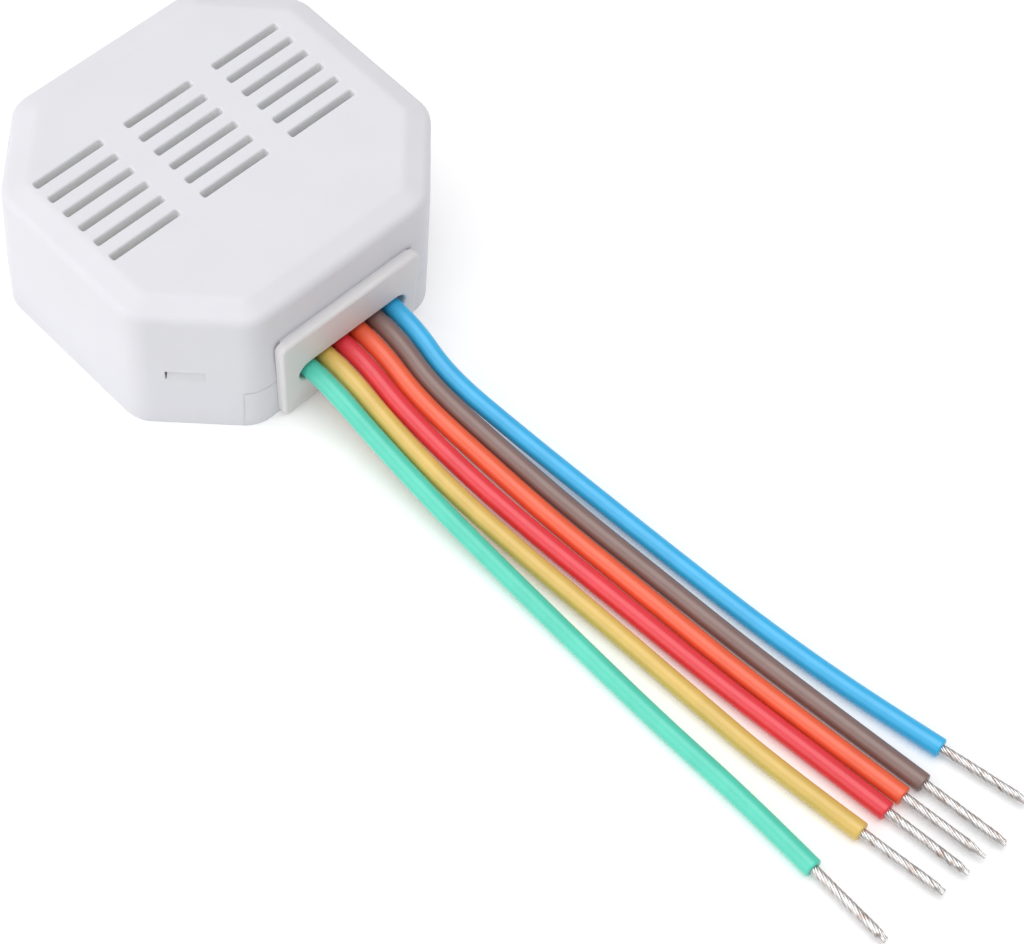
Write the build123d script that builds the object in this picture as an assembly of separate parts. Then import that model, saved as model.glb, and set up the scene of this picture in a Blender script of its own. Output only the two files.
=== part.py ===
from build123d import *
import math
import os

# Flush-mounted shutter control module: an eight-sided plastic casing that stands on its flat base,
# with a vented cover, a relay board inside and six stripped leads that leave through one outlet.
# Lengths are millimetres. The origin is the middle of the casing's underside, +Z is up through the
# vented roof, and the leads leave towards -Y.

# Casing outline and shells
casing_width = 54.0
casing_depth = 50.0
corner_cut = 11.6
corner_radius = 5.2
wall_lean = 0.5
crown_width = 3.4
crown_drop = 1.3
crown_radius = 2.4
roof_edge_radius = 1.5
roof_inner_radius = 0.8
side_wall = 1.8
roof_thickness = 2.7
floor_thickness = 1.6
seam_gap = 0.08
seam_side_gap = 0.01
least_corner_radius = 0.5

# Room above the board, set by the tallest part on it
relay_headroom = 0.9

# Ventilation slots in the roof
slot_length = 11.3
slot_width = 1.05
slot_pitch = 3.1
slots_in_group = 6
slot_groups = 3
slot_group_pitch = 15.4
slot_field_x = -1.3
slot_field_y = 3.0
slot_end_radius = 0.3
slot_rim_radius = 0.3

# Snap hooks of the base and their windows in the cover
window_width = 5.3
window_height = 1.6
window_bottom = 10.3
window_shift = 1.3
hook_thickness = 1.2
hook_wall_gap = 0.25
hook_side_gap = 0.25
hook_far_gap = 0.02
hook_top_gap = 0.2
hook_seat_gap = 0.02
hook_recess = 0.02
hook_top_recess = 0.45

# Front sill of the base, which closes the notch in the cover round the cable outlet
sill_half_width = 16.7
sill_height = 7.7

# Leads
lead_diameter = 2.7
lead_conductor_diameter = 1.3
lead_pitch = 3.0
lead_shift = 0.4
lead_count = 6
lead_height = 7.1
stripped_length = 12.5
stripped_taper = 1.3
stripped_tip_diameter = 0.5

# Cable outlet, a grooved plate that is trapped between the sill and the cover
outlet_plate_width = 24.8
outlet_plate_height = 15.6
outlet_plate_bottom = 0.4
outlet_plate_thickness = 1.44
outlet_plate_taper = 0.5
outlet_corner_radius = 1.1
outlet_edge_radius = 0.5
outlet_web_side = 1.5
outlet_web_bottom_lip = 2.7
outlet_web_top_lip = 3.6
outlet_inner_plate_thickness = 1.2
outlet_inner_overlap = 1.1
outlet_fit = 0.02
outlet_pad_step = 0.1
throat_side_gap = 0.7
throat_height = 3.55
throat_rise = 0.325
throat_rim_radius = 0.4

# Cable clamp behind the outlet
clamp_depth = 3.0
clamp_outlet_gap = 0.8
clamp_bar_thickness = 1.8
clamp_bar_overhang = 2.2
clamp_bar_corner_radius = 1.0
clamp_post_diameter = 4.2
clamp_post_gap = 0.9
clamp_grip_gap = 0.04
screw_shank_diameter = 1.9
screw_head_diameter = 3.6
screw_head_height = 1.2
screw_depth = 4.6
screw_bore_gap = 0.05
screw_slot_width = 0.6
screw_slot_depth = 0.5

# Circuit board and its posts
board_thickness = 1.6
board_standoff = 1.8
board_wall_gap = 1.0
board_hook_gap = 0.5
board_clamp_gap = 0.7
lead_hole_step = 3.2
inner_insulation_step = 1.1
inner_bend_radius = 1.2
board_post_diameter = 4.4
board_post_inset = 2.7
board_screw_depth = 2.2
hole_gap = 0.1
cut_margin = 1.0
small_edge_radius = 0.4

# Leads of the board's parts
pin_diameter = 0.7
pin_overhang = 0.8
solder_diameter = 1.7
solder_height = 0.6
solder_neck = 0.1

# Relays
relay_screw_gap = 1.6
diode_screw_gap = 0.2
relay_width = 7.2
relay_height = 15.3
relay_case_wall = 0.5
relay_fit = 0.05
relay_gap = 0.6
relay_edge_gap = 0.8
relay_base_height = 1.6
relay_tail_gap = 1.9
relay_winding_height = 7.0
relay_winding_diameter = 5.2
relay_flange_size = 5.8
relay_flange_thickness = 0.6
relay_core_diameter = 2.4
relay_pole_diameter = 4.4
relay_pole_thickness = 0.6
relay_yoke_thickness = 0.9
relay_yoke_width = 5.0
relay_yoke_gap = 0.35
relay_yoke_foot = 0.8
relay_armature_gap = 0.6
relay_armature_thickness = 0.8
relay_armature_rest_gap = 0.03
relay_armature_tail = 1.2
relay_armature_overhang = 0.5
relay_leaf_thickness = 0.25
relay_leaf_width = 3.0
relay_contact_diameter = 2.2
relay_contact_height = 0.8
relay_contact_gap = 1.45
relay_contact_inset = 1.9
relay_post_thickness = 0.5
relay_pin_inset = 1.6
relay_pin_side = 2.0

# Power supply parts
film_capacitor_size = (6.0, 13.0, 12.0)
film_capacitor_radius = 0.8
film_capacitor_lead_pitch = 10.0
part_gap = 0.8
input_capacitor_diameter = 8.0
input_capacitor_height = 12.0
input_capacitor_shift = 0.4
output_capacitor_diameter = 6.3
output_capacitor_height = 11.0
output_capacitor_shift = 1.6
output_capacitor_screw_step = 4.8
output_capacitor_gap = 0.2
capacitor_groove = 0.35
capacitor_groove_height = 1.6
capacitor_groove_offset = 0.2
capacitor_edge = 0.5
capacitor_lead_pitch = 3.2
transformer_width = 10.6
transformer_screw_step = 11.24
transformer_core_depth = 4.4
transformer_core_height = 9.4
transformer_leg = 1.5
transformer_centre_leg = 3.0
transformer_winding_depth = 9.2
transformer_base_height = 1.4
transformer_base_depth = 9.8
transformer_fit = 0.1
transformer_pin_pitch = 3.4
transformer_pin_inset = 0.9
winding_corner_radius = 1.2
fuse_diameter = 7.6
fuse_height = 7.4
fuse_lead_pitch = 5.08
fuse_edge_radius = 0.5
fuse_wire_gap = 1.8
varistor_diameter = 7.8
varistor_thickness = 3.4
varistor_lead_pitch = 5.0
varistor_edge_radius = 1.0
varistor_foot_overhang = 0.6
varistor_foot_thickness = 1.6
rectifier_size = (4.7, 4.0, 2.4)
rectifier_lead_steps = (-1.25, 1.25)
controller_size = (4.9, 3.9, 1.5)
controller_lead_steps = (-1.9, -0.64, 0.64, 1.9)
controller_gap = 2.2
transistor_size = (2.9, 1.4, 1.0)
transistor_lead_places = ((-0.95, -1), (0.95, -1), (0.0, 1))
diode_size = (4.3, 2.6, 2.2)
chip_bevel = 0.15
chip_size = (2.0, 1.25, 0.6)
chip_count = 8
chips_in_row = 4
chip_column_pitch = 2.65
chip_row_pitch = 2.3
chip_row_gap = 1.4
chip_row_start = 3.4
chip_lead_size = (0.42, 1.0, 0.25)

# Radio board, which stands on the main board behind the relays
radio_board_width = 22.0
radio_board_height = 13.0
radio_board_thickness = 1.0
radio_board_corner = 1.0
radio_board_lift = 0.6
radio_rear_gap = 2.2
radio_header_width = 18.5
radio_header_size = 2.5
radio_pin_count = 7
radio_pin_pitch = 2.54
radio_chip_size = 6.0
radio_chip_thickness = 0.9
radio_chip_shift = 3.0
radio_chip_rise = 7.8
radio_shield_size = (13.0, 9.0, 1.8)
radio_shield_wall = 0.25
antenna_width = 1.2
antenna_thickness = 0.4
antenna_length = 15.0
antenna_foot = 2.2

# Routes of the free leads beyond the outlet: sideways place, distance from the outlet's face and
# height of each point, with the first at the exit. They lie on the surface that the casing stands on.
lead_routes = {
    "green": [(-7.1, 0, 7.1), (-7.1, 4, 7.1), (-7.3, 12, 5.3), (-7.65, 25, 3.6), (-7.45, 37.5, 2.0),
              (-7.55, 52, 1.35), (-7.85, 67, 1.35), (-7.6, 81.5, 1.35), (-8.05, 93.7, 1.35)],
    "yellow": [(-4.1, 0, 7.1), (-4.1, 4, 7.1), (-4.5, 12, 5.3), (-4.75, 25, 3.6), (-3.7, 37.5, 2.0),
               (-2.65, 52, 1.35), (-2.1, 67, 1.35), (-1.5, 81.5, 1.35), (0.05, 94.5, 1.35)],
    "red": [(-1.1, 0, 7.1), (-1.1, 4, 7.1), (-1.73, 12, 5.3), (-1.45, 25, 3.6), (-0.3, 37.5, 2.0),
            (1.0, 52, 1.35), (1.9, 67, 1.35), (3.3, 81.5, 1.35), (4.55, 94.8, 1.35)],
    "orange": [(1.9, 0, 7.1), (1.9, 4, 7.1), (1.07, 12, 5.3), (1.85, 25, 3.6), (2.8, 37.5, 2.0),
               (4.05, 52, 1.35), (4.85, 67, 1.35), (6.2, 81.5, 1.35), (7.65, 94.8, 1.35)],
    "brown": [(4.9, 0, 7.1), (4.9, 4, 7.1), (3.87, 12, 5.3), (4.75, 25, 3.6), (5.85, 37.5, 2.0),
              (7.15, 52, 1.35), (8.1, 67, 1.35), (9.5, 81.5, 1.35), (10.95, 95.4, 1.35)],
    "blue": [(7.9, 0, 7.1), (7.9, 4, 7.1), (6.67, 12, 5.3), (8.05, 25, 3.6), (9.65, 37.5, 2.0),
             (10.95, 52, 1.35), (12.1, 67, 1.35), (14.0, 81.5, 1.35), (16.3, 93.6, 1.35)],
}
arc_share = 0.45

# Places that follow from the sizes above
half_width = casing_width / 2
half_depth = casing_depth / 2
board_bottom = floor_thickness + board_standoff
board_top = board_bottom + board_thickness
casing_height = board_top + relay_height + relay_headroom + roof_thickness
shoulder_height = casing_height - crown_drop
outlet_face = -half_depth - outlet_fit - outlet_plate_thickness
throat_half_width = (lead_count - 1) * lead_pitch / 2 + lead_diameter / 2 + throat_side_gap
throat_middle = lead_height + throat_rise
outlet_web_half_width = throat_half_width + outlet_web_side
outlet_web_bottom = outlet_plate_bottom + outlet_web_bottom_lip
outlet_web_top = outlet_plate_bottom + outlet_plate_height - outlet_web_top_lip
outlet_inner_face = -half_depth + side_wall + outlet_fit + outlet_inner_plate_thickness
clamp_front = outlet_inner_face + clamp_outlet_gap
clamp_back = clamp_front + clamp_depth
clamp_middle = (clamp_front + clamp_back) / 2
clamp_post_x = throat_half_width + clamp_post_gap + clamp_post_diameter / 2
clamp_top = lead_height + lead_diameter / 2 + clamp_grip_gap
board_front = clamp_back + board_clamp_gap
board_half_width = half_width - side_wall - board_wall_gap
board_rear = half_depth - side_wall - board_wall_gap
board_chamfer_inset = side_wall + hook_wall_gap + hook_thickness + board_hook_gap
chamfer_middle_x = half_width - corner_cut / 2
chamfer_middle_y = half_depth - corner_cut / 2
diagonal = math.sqrt(0.5)
board_post_step = (board_chamfer_inset + board_post_inset) * diagonal
board_post_x = chamfer_middle_x - board_post_step
board_post_y = chamfer_middle_y - board_post_step
pin_bottom = board_bottom - pin_overhang
lead_hole_y = board_front + lead_hole_step
inner_lead_end = board_front + inner_insulation_step


def moved(shape, x, y, z):
    """A copy of the shape with its own origin at the given place."""
    return Pos(x, y, z) * shape


def block(low, high):
    """A box between two opposite corners."""
    size = [b - a for a, b in zip(low, high)]
    middle = [(a + b) / 2 for a, b in zip(low, high)]
    return moved(Box(*size), *middle)


def standing_cylinder(diameter, bottom, top, x, y):
    """A round bar along Z from bottom to top."""
    return moved(Cylinder(diameter / 2, top - bottom), x, y, (bottom + top) / 2)


def octagon(inset, cut_inset=None):
    """The casing's outline, drawn in by the inset; the corner cuts may be drawn in by their own."""
    x = half_width - inset
    y = half_depth - inset
    to_cut = (half_width + half_depth - corner_cut) * diagonal - (inset if cut_inset is None else cut_inset)
    cut = x + y - to_cut / diagonal
    corners = [(x, y - cut), (x - cut, y), (cut - x, y), (-x, y - cut),
               (-x, cut - y), (cut - x, -y), (x - cut, -y), (x, cut - y)]
    outline = Polygon(*corners, align=None)
    return fillet(outline.vertices(), max(corner_radius - inset, least_corner_radius))


def top_edges(solid):
    """The edges of a solid's highest face."""
    return solid.faces().sort_by(Axis.Z)[-1].edges()


def prism(inset, height, cut_inset=None):
    """The casing's outline at an inset, raised from the ground."""
    return extrude(octagon(inset, cut_inset), height)


def outer_shell():
    """The casing's outside: upright up to the seam, leaning in above it, with a crowned roof."""
    lean_angle = math.degrees(math.atan(wall_lean / (shoulder_height - sill_height)))
    upper = extrude(octagon(0), casing_height - sill_height, taper=lean_angle)
    shell = prism(0, sill_height) + moved(upper, 0, 0, sill_height)
    roof = shell.faces().sort_by(Axis.Z)[-1]
    shell = chamfer(roof.edges(), crown_width, crown_drop, reference=roof)
    shell = fillet(top_edges(shell), crown_radius)
    shoulder = shell.edges().filter_by_position(Axis.Z, shoulder_height - seam_gap, shoulder_height + seam_gap)
    return fillet(shoulder, roof_edge_radius)


def on_chamfers(make):
    """Four copies of a shape made for the front left corner cut, one on each corner cut.

    The shape is made with its outer face towards -Y, centred on X, and mirrored on the other sides."""
    x = -chamfer_middle_x
    y = -chamfer_middle_y
    front_left = Pos(x, y, 0) * Rot(0, 0, -45) * make()
    left_pair = [front_left, mirror(front_left, Plane.XZ)]
    return left_pair + [mirror(shape, Plane.YZ) for shape in left_pair]


def group(solids):
    """Separate solids that share one node."""
    return Compound(children=[solid for shape in solids for solid in shape.solids()])


def top_cover():
    """The vented upper shell, open below, with its side walls down to the ground.

    A flat pad on the leaning front wall backs the outlet plate."""
    inner = prism(side_wall, casing_height - roof_thickness)
    cover = outer_shell() - fillet(top_edges(inner), roof_inner_radius)
    pad_half = outlet_plate_width / 2 - outlet_corner_radius
    pad_top = outlet_plate_bottom + outlet_plate_height - outlet_pad_step
    cover += block((-pad_half, -half_depth, sill_height), (pad_half, -half_depth + side_wall, pad_top))
    slot = extrude(RectangleRounded(slot_length, slot_width, slot_end_radius), roof_thickness * 3)
    for column in range(slot_groups):
        x = slot_field_x + (column - (slot_groups - 1) / 2) * slot_group_pitch
        for row in range(slots_in_group):
            y = slot_field_y + (row - (slots_in_group - 1) / 2) * slot_pitch
            cover -= moved(slot, x, y, casing_height - roof_thickness * 2)
    roof = cover.faces().sort_by(Axis.Z)[-1]
    cover = fillet([edge for rim in roof.inner_wires() for edge in rim.edges()], slot_rim_radius)
    for window in on_chamfers(cover_window):
        cover -= window
    cover -= sill_space(0, 0)
    slot_half = outlet_web_half_width + outlet_fit
    cover -= block((-slot_half, -half_depth - cut_margin, -cut_margin),
                   (slot_half, -half_depth + side_wall + cut_margin, outlet_web_top + outlet_fit))
    return cover


def cover_window():
    """The opening in a corner cut of the cover that a snap hook catches in."""
    low = (-window_width / 2 - window_shift, -cut_margin, window_bottom)
    high = (window_width / 2 - window_shift, side_wall + cut_margin, window_bottom + window_height)
    return block(low, high)


def sill_space(side_gap, top_gap):
    """The notch in the cover's front that the base's sill closes, drawn in by the gaps."""
    half = sill_half_width - side_gap
    return block((-half, -half_depth - cut_margin, -cut_margin),
                 (half, -half_depth + corner_cut / 2, sill_height - top_gap))


def base_tray():
    """The floor that closes the casing, with its front sill, board posts and cable clamp saddle."""
    floor = prism(side_wall + seam_gap, floor_thickness)
    front = block((-sill_half_width + seam_side_gap, -half_depth - cut_margin, 0),
                  (sill_half_width - seam_side_gap, -half_depth + side_wall + corner_radius, floor_thickness))
    floor += prism(0, floor_thickness) & front
    sill = (prism(0, casing_height) - prism(side_wall, casing_height)) & sill_space(seam_side_gap, seam_gap)
    tray = floor + sill
    slot_half = outlet_web_half_width + outlet_fit
    tray -= block((-slot_half, -half_depth - cut_margin, outlet_web_bottom - outlet_fit),
                  (slot_half, -half_depth + side_wall + cut_margin, casing_height))
    saddle_half = throat_half_width
    saddle_top = lead_height - lead_diameter / 2 - clamp_grip_gap
    tray += block((-saddle_half, clamp_front, floor_thickness), (saddle_half, clamp_back, saddle_top))
    for x in (-clamp_post_x, clamp_post_x):
        tray += standing_cylinder(clamp_post_diameter, floor_thickness, clamp_top, x, clamp_middle)
    for x, y in board_post_places():
        tray += standing_cylinder(board_post_diameter, floor_thickness, board_bottom, x, y)
    bore = screw_shank_diameter + 2 * screw_bore_gap
    clamp_bore_bottom = clamp_top - screw_depth - screw_bore_gap
    for x in (-clamp_post_x, clamp_post_x):
        tray -= standing_cylinder(bore, clamp_bore_bottom, clamp_top + cut_margin, x, clamp_middle)
    board_bore_bottom = board_bottom - board_screw_depth - screw_bore_gap
    for x, y in board_post_places():
        tray -= standing_cylinder(bore, board_bore_bottom, board_bottom + cut_margin, x, y)
    return tray


def board_post_places():
    """Centres of the four posts that carry the board, inside its cut corners."""
    x = board_post_x
    y = board_post_y
    return [(-x, -y), (x, -y), (x, y), (-x, y)]


def snap_hook():
    """A springy arm on the floor with a nose that fills most of its window."""
    left = -window_width / 2 - window_shift + hook_side_gap
    right = window_width / 2 - window_shift - hook_far_gap
    arm_outside = side_wall + hook_wall_gap
    nose_bottom = window_bottom + hook_seat_gap
    nose_top = window_bottom + window_height - hook_top_gap
    arm = block((left, arm_outside, floor_thickness), (right, arm_outside + hook_thickness, nose_top))
    profile = Polygon((hook_recess, nose_bottom), (arm_outside, nose_bottom), (arm_outside, nose_top),
                      (hook_top_recess, nose_top), align=None)
    nose = extrude(Plane.YZ * profile, right - left)
    return arm + moved(nose, left, 0, 0)


def throat(depth, y):
    """The throat's opening, a bar with rounded ends, from the face at y back into the casing."""
    bar = extrude(SlotOverall(2 * throat_half_width, throat_height), depth)
    return Pos(lead_shift, y, throat_middle) * Rot(90, 0, 0) * moved(bar, 0, 0, -depth)


def cable_outlet():
    """The grooved outlet: a front plate, a web in the wall and a plate inside, with one throat."""
    half = outlet_plate_width / 2
    top = outlet_plate_bottom + outlet_plate_height
    foot = half - outlet_plate_taper
    outline = Polygon((-foot, outlet_plate_bottom), (foot, outlet_plate_bottom),
                      (half, top), (-half, top), align=None)
    outline = fillet(outline.vertices(), outlet_corner_radius)
    plate = moved(extrude(Plane.XZ * outline, outlet_plate_thickness), 0, -half_depth - outlet_fit, 0)
    plate = fillet(plate.faces().sort_by(Axis.Y)[0].edges(), outlet_edge_radius)
    web = block((-outlet_web_half_width, -half_depth - outlet_fit, outlet_web_bottom),
                (outlet_web_half_width, -half_depth + side_wall + outlet_fit, outlet_web_top))
    inner_half = outlet_web_half_width + outlet_inner_overlap
    inner = block((-inner_half, -half_depth + side_wall + outlet_fit, outlet_web_bottom - outlet_inner_overlap),
                  (inner_half, outlet_inner_face, outlet_web_top + outlet_inner_overlap))
    outlet = plate + web + inner
    depth = outlet_inner_face - outlet_face + 2 * cut_margin
    outlet -= throat(depth, outlet_face - cut_margin)
    rim = outlet.faces().sort_by(Axis.Y)[0].inner_wires()[0].edges()
    return fillet(rim, throat_rim_radius)


def clamp_bar():
    """The bar that holds the six leads down behind the outlet."""
    half = clamp_post_x + clamp_bar_overhang
    bar = block((-half, clamp_front, clamp_top), (half, clamp_back, clamp_top + clamp_bar_thickness))
    bar = fillet(bar.edges().filter_by(Axis.Z), clamp_bar_corner_radius)
    for x in (-clamp_post_x, clamp_post_x):
        bar -= standing_cylinder(screw_shank_diameter + 2 * hole_gap, clamp_top - cut_margin,
                                 clamp_top + clamp_bar_thickness + cut_margin, x, clamp_middle)
    return bar


def screw(under_head, x, y, depth, grip):
    """A slotted pan-head screw, seated at under_head, that reaches depth into what lies below its grip."""
    shank = standing_cylinder(screw_shank_diameter, under_head - grip - depth, under_head, x, y)
    head = standing_cylinder(screw_head_diameter, under_head, under_head + screw_head_height, x, y)
    head = fillet(top_edges(head), small_edge_radius)
    half = screw_head_diameter / 2
    cut = block((-half, -screw_slot_width / 2, 0), (half, screw_slot_width / 2, screw_slot_depth + cut_margin))
    return shank + head - moved(cut, x, y, under_head + screw_head_height - screw_slot_depth)


def clamp_screws():
    """The two screws of the clamp bar."""
    seat = clamp_top + clamp_bar_thickness
    places = (-clamp_post_x, clamp_post_x)
    return group([screw(seat, x, clamp_middle, screw_depth, clamp_bar_thickness) for x in places])


def board_screws():
    """The four screws of the board."""
    return group([screw(board_top, x, y, board_screw_depth, board_thickness) for x, y in board_post_places()])


def lead_places():
    """Sideways places of the six leads in the outlet."""
    first = lead_shift - (lead_count - 1) * lead_pitch / 2
    return [first + n * lead_pitch for n in range(lead_count)]


# Centres of the relays and of the other parts on the board
relay_down_x = board_half_width - relay_edge_gap - relay_width / 2
relay_up_x = relay_down_x - relay_gap - relay_width
relay_front = -board_post_y + screw_head_diameter / 2 + diode_screw_gap + diode_size[1] + part_gap
relay_rear = board_post_y - screw_head_diameter / 2 - relay_screw_gap
relay_length = relay_rear - relay_front
relay_y = (relay_rear + relay_front) / 2
film_capacitor_x = -board_half_width + part_gap + film_capacitor_size[0] / 2
output_capacitor_x = film_capacitor_x + output_capacitor_shift
output_capacitor_y = -board_post_y + output_capacitor_screw_step
film_capacitor_front = output_capacitor_y + output_capacitor_diameter / 2 + output_capacitor_gap
film_capacitor_y = film_capacitor_front + film_capacitor_size[1] / 2
transformer_x = film_capacitor_x + film_capacitor_size[0] / 2 + part_gap + transformer_width / 2
transformer_y = board_post_y - transformer_screw_step
input_capacitor_x = transformer_x - input_capacitor_shift
input_capacitor_y = transformer_y - transformer_base_depth / 2 - part_gap - input_capacitor_diameter / 2
centre_x = (transformer_x + transformer_width / 2 + relay_up_x - relay_width / 2) / 2
fuse_y = lead_hole_y + fuse_wire_gap + fuse_diameter / 2
varistor_y = fuse_y + fuse_diameter / 2 + part_gap + varistor_thickness / 2
rectifier_y = varistor_y + varistor_thickness / 2 + part_gap + rectifier_size[1] / 2
controller_y = rectifier_y + rectifier_size[1] / 2 + controller_gap + controller_size[1] / 2
radio_board_rear = board_rear - radio_rear_gap
radio_board_front = radio_board_rear - radio_board_thickness
radio_header_y = radio_board_front - radio_header_size / 2
radio_chip_z = board_top + radio_board_lift + radio_chip_rise


def relay_pins(x):
    """Places of one relay's four pins."""
    y = relay_length / 2 - relay_pin_inset
    return [(x + sx * relay_pin_side, relay_y + sy * y) for sx in (-1, 1) for sy in (-1, 1)]


def pair(x, y, pitch, along="y"):
    """Places of two leads at a pitch about a centre."""
    step = pitch / 2
    if along == "x":
        return [(x - step, y), (x + step, y)]
    return [(x, y - step), (x, y + step)]


def transformer_pins():
    """Places of the transformer's six pins."""
    y = transformer_base_depth / 2 - transformer_pin_inset
    columns = [transformer_x + n * transformer_pin_pitch for n in (-1, 0, 1)]
    return [(x, transformer_y + side * y) for x in columns for side in (-1, 1)]


def header_pins():
    """Places of the radio board's pins."""
    first = -(radio_pin_count - 1) * radio_pin_pitch / 2
    return [(first + n * radio_pin_pitch, radio_header_y) for n in range(radio_pin_count)]


def component_pins():
    """Places of every part lead that passes through the board."""
    places = relay_pins(relay_up_x) + relay_pins(relay_down_x) + transformer_pins() + header_pins()
    places += pair(film_capacitor_x, film_capacitor_y, film_capacitor_lead_pitch)
    places += pair(input_capacitor_x, input_capacitor_y, capacitor_lead_pitch, "x")
    places += pair(output_capacitor_x, output_capacitor_y, capacitor_lead_pitch, "x")
    places += pair(centre_x, fuse_y, fuse_lead_pitch, "x")
    places += pair(centre_x, varistor_y, varistor_lead_pitch, "x")
    return places


def board_hole(inside, x, y):
    """The hole in the board for a pin or screw of the given diameter."""
    return standing_cylinder(inside + 2 * hole_gap, board_bottom - cut_margin, board_top + cut_margin, x, y)


def circuit_board():
    """The board, cut straight across at the front behind the clamp."""
    board = moved(prism(side_wall + board_wall_gap, board_thickness, board_chamfer_inset), 0, 0, board_bottom)
    behind_clamp = block((-half_width, board_front, 0), (half_width, half_depth, casing_height))
    board &= behind_clamp
    for x, y in board_post_places():
        board -= board_hole(screw_shank_diameter, x, y)
    for x, y in component_pins():
        board -= board_hole(pin_diameter, x, y)
    for x in lead_places():
        board -= board_hole(lead_conductor_diameter, x, lead_hole_y)
    return board


def component_leads():
    """The pins that join the parts to the board."""
    return group([standing_cylinder(pin_diameter, pin_bottom, board_top, x, y) for x, y in component_pins()])


def solder_cone(x, y, inside):
    """A solder joint under the board round a lead."""
    radius = inside / 2 + (solder_diameter - pin_diameter) / 2
    cone = Pos(x, y, board_bottom - solder_height / 2) * Cone(inside / 2 + solder_neck, radius, solder_height)
    return cone - standing_cylinder(inside, pin_bottom - cut_margin, board_top, x, y)


def solder_joints():
    """The solder under every lead of the parts and every wire."""
    cones = [solder_cone(x, y, pin_diameter) for x, y in component_pins()]
    cones += [solder_cone(x, lead_hole_y, lead_conductor_diameter) for x in lead_places()]
    return group(cones)


# Heights inside a relay, above the board
relay_base_top = relay_fit + relay_base_height
relay_bobbin_bottom = relay_base_top + relay_yoke_foot
relay_winding_bottom = relay_bobbin_bottom + relay_flange_thickness
relay_winding_top = relay_winding_bottom + relay_winding_height
relay_bobbin_top = relay_winding_top + relay_flange_thickness
relay_pole_top = relay_bobbin_top + relay_pole_thickness
relay_armature_bottom = relay_pole_top + relay_armature_gap
relay_yoke_top = relay_armature_bottom - relay_armature_rest_gap
relay_leaf_bottom = relay_armature_bottom + relay_armature_thickness
relay_yoke_front = relay_front + relay_case_wall + relay_tail_gap + relay_armature_tail
relay_coil_y = relay_yoke_front + relay_yoke_gap + relay_flange_size / 2
relay_inner_end = relay_rear - relay_case_wall
relay_contact_y = relay_inner_end - relay_contact_inset


def relay_case(x):
    """The relay's dust cover, open at the board."""
    half = relay_width / 2
    outer = block((x - half, relay_front, board_top), (x + half, relay_rear, board_top + relay_height))
    outer = fillet(outer.edges().filter_by(Axis.Z) + top_edges(outer), small_edge_radius)
    wall = relay_case_wall
    inner = block((x - half + wall, relay_front + wall, board_top - cut_margin),
                  (x + half - wall, relay_rear - wall, board_top + relay_height - wall))
    return outer - inner


def relay_base(x):
    """The relay's moulded base, which fills the foot of its case."""
    inset = relay_case_wall + relay_fit
    half = relay_width / 2 - inset
    return block((x - half, relay_front + inset, board_top + relay_fit),
                 (x + half, relay_rear - inset, board_top + relay_base_top))


def relay_coil(x):
    """The bobbin with its winding, hollow for the core."""
    half = relay_flange_size / 2
    flange = Box(2 * half, 2 * half, relay_flange_thickness)
    lower = moved(flange, x, relay_coil_y, board_top + relay_bobbin_bottom + relay_flange_thickness / 2)
    upper = moved(flange, x, relay_coil_y, board_top + relay_winding_top + relay_flange_thickness / 2)
    winding = standing_cylinder(relay_winding_diameter, board_top + relay_winding_bottom,
                                board_top + relay_winding_top, x, relay_coil_y)
    bore = standing_cylinder(relay_core_diameter + 2 * relay_fit, board_top, board_top + relay_height,
                             x, relay_coil_y)
    return lower + upper + winding - bore


def relay_yoke(x):
    """The iron circuit: foot, upright, core and pole face."""
    half = relay_yoke_width / 2
    foot_bottom = board_top + relay_base_top
    foot_top = board_top + relay_bobbin_bottom - relay_fit
    foot = block((x - half, relay_yoke_front, foot_bottom), (x + half, relay_coil_y + half, foot_top))
    upright = block((x - half, relay_yoke_front - relay_yoke_thickness, foot_bottom),
                    (x + half, relay_yoke_front, board_top + relay_yoke_top))
    core = standing_cylinder(relay_core_diameter, foot_bottom, board_top + relay_pole_top, x, relay_coil_y)
    pole = standing_cylinder(relay_pole_diameter, board_top + relay_bobbin_top + relay_fit,
                             board_top + relay_pole_top, x, relay_coil_y)
    return foot + upright + core + pole


def relay_armature(x):
    """The hinged iron plate with its contact leaf and moving contact."""
    half = relay_yoke_width / 2
    bottom = board_top + relay_armature_bottom
    plate_end = relay_coil_y + relay_pole_diameter / 2 + relay_armature_overhang
    plate = block((x - half, relay_yoke_front - relay_armature_tail, bottom),
                  (x + half, plate_end, bottom + relay_armature_thickness))
    leaf_bottom = board_top + relay_leaf_bottom
    leaf_half = relay_leaf_width / 2
    leaf_end = relay_contact_y + relay_contact_diameter / 2
    leaf = block((x - leaf_half, relay_yoke_front, leaf_bottom),
                 (x + leaf_half, leaf_end, leaf_bottom + relay_leaf_thickness))
    button = standing_cylinder(relay_contact_diameter, leaf_bottom - relay_contact_height / 2,
                               leaf_bottom + relay_leaf_thickness, x, relay_contact_y)
    return plate + leaf + button


def relay_contact(x):
    """The fixed contact: an upright strip with a button under the moving one."""
    half = relay_leaf_width / 2
    strip_outside = relay_inner_end - relay_fit
    button_top = board_top + relay_leaf_bottom - relay_contact_height / 2 - relay_contact_gap
    arm_top = button_top - relay_contact_height / 2
    strip = block((x - half, strip_outside - relay_post_thickness, board_top + relay_base_top),
                  (x + half, strip_outside, arm_top))
    arm = block((x - half, relay_contact_y - relay_contact_diameter / 2, arm_top - relay_post_thickness),
                (x + half, strip_outside, arm_top))
    button = standing_cylinder(relay_contact_diameter, arm_top, button_top, x, relay_contact_y)
    return strip + arm + button


def film_capacitor():
    """The box-shaped interference capacitor."""
    w, d, h = film_capacitor_size
    body = moved(Box(w, d, h), film_capacitor_x, film_capacitor_y, board_top + h / 2)
    return fillet(body.edges().filter_by(Axis.Z) + top_edges(body), film_capacitor_radius)


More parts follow.
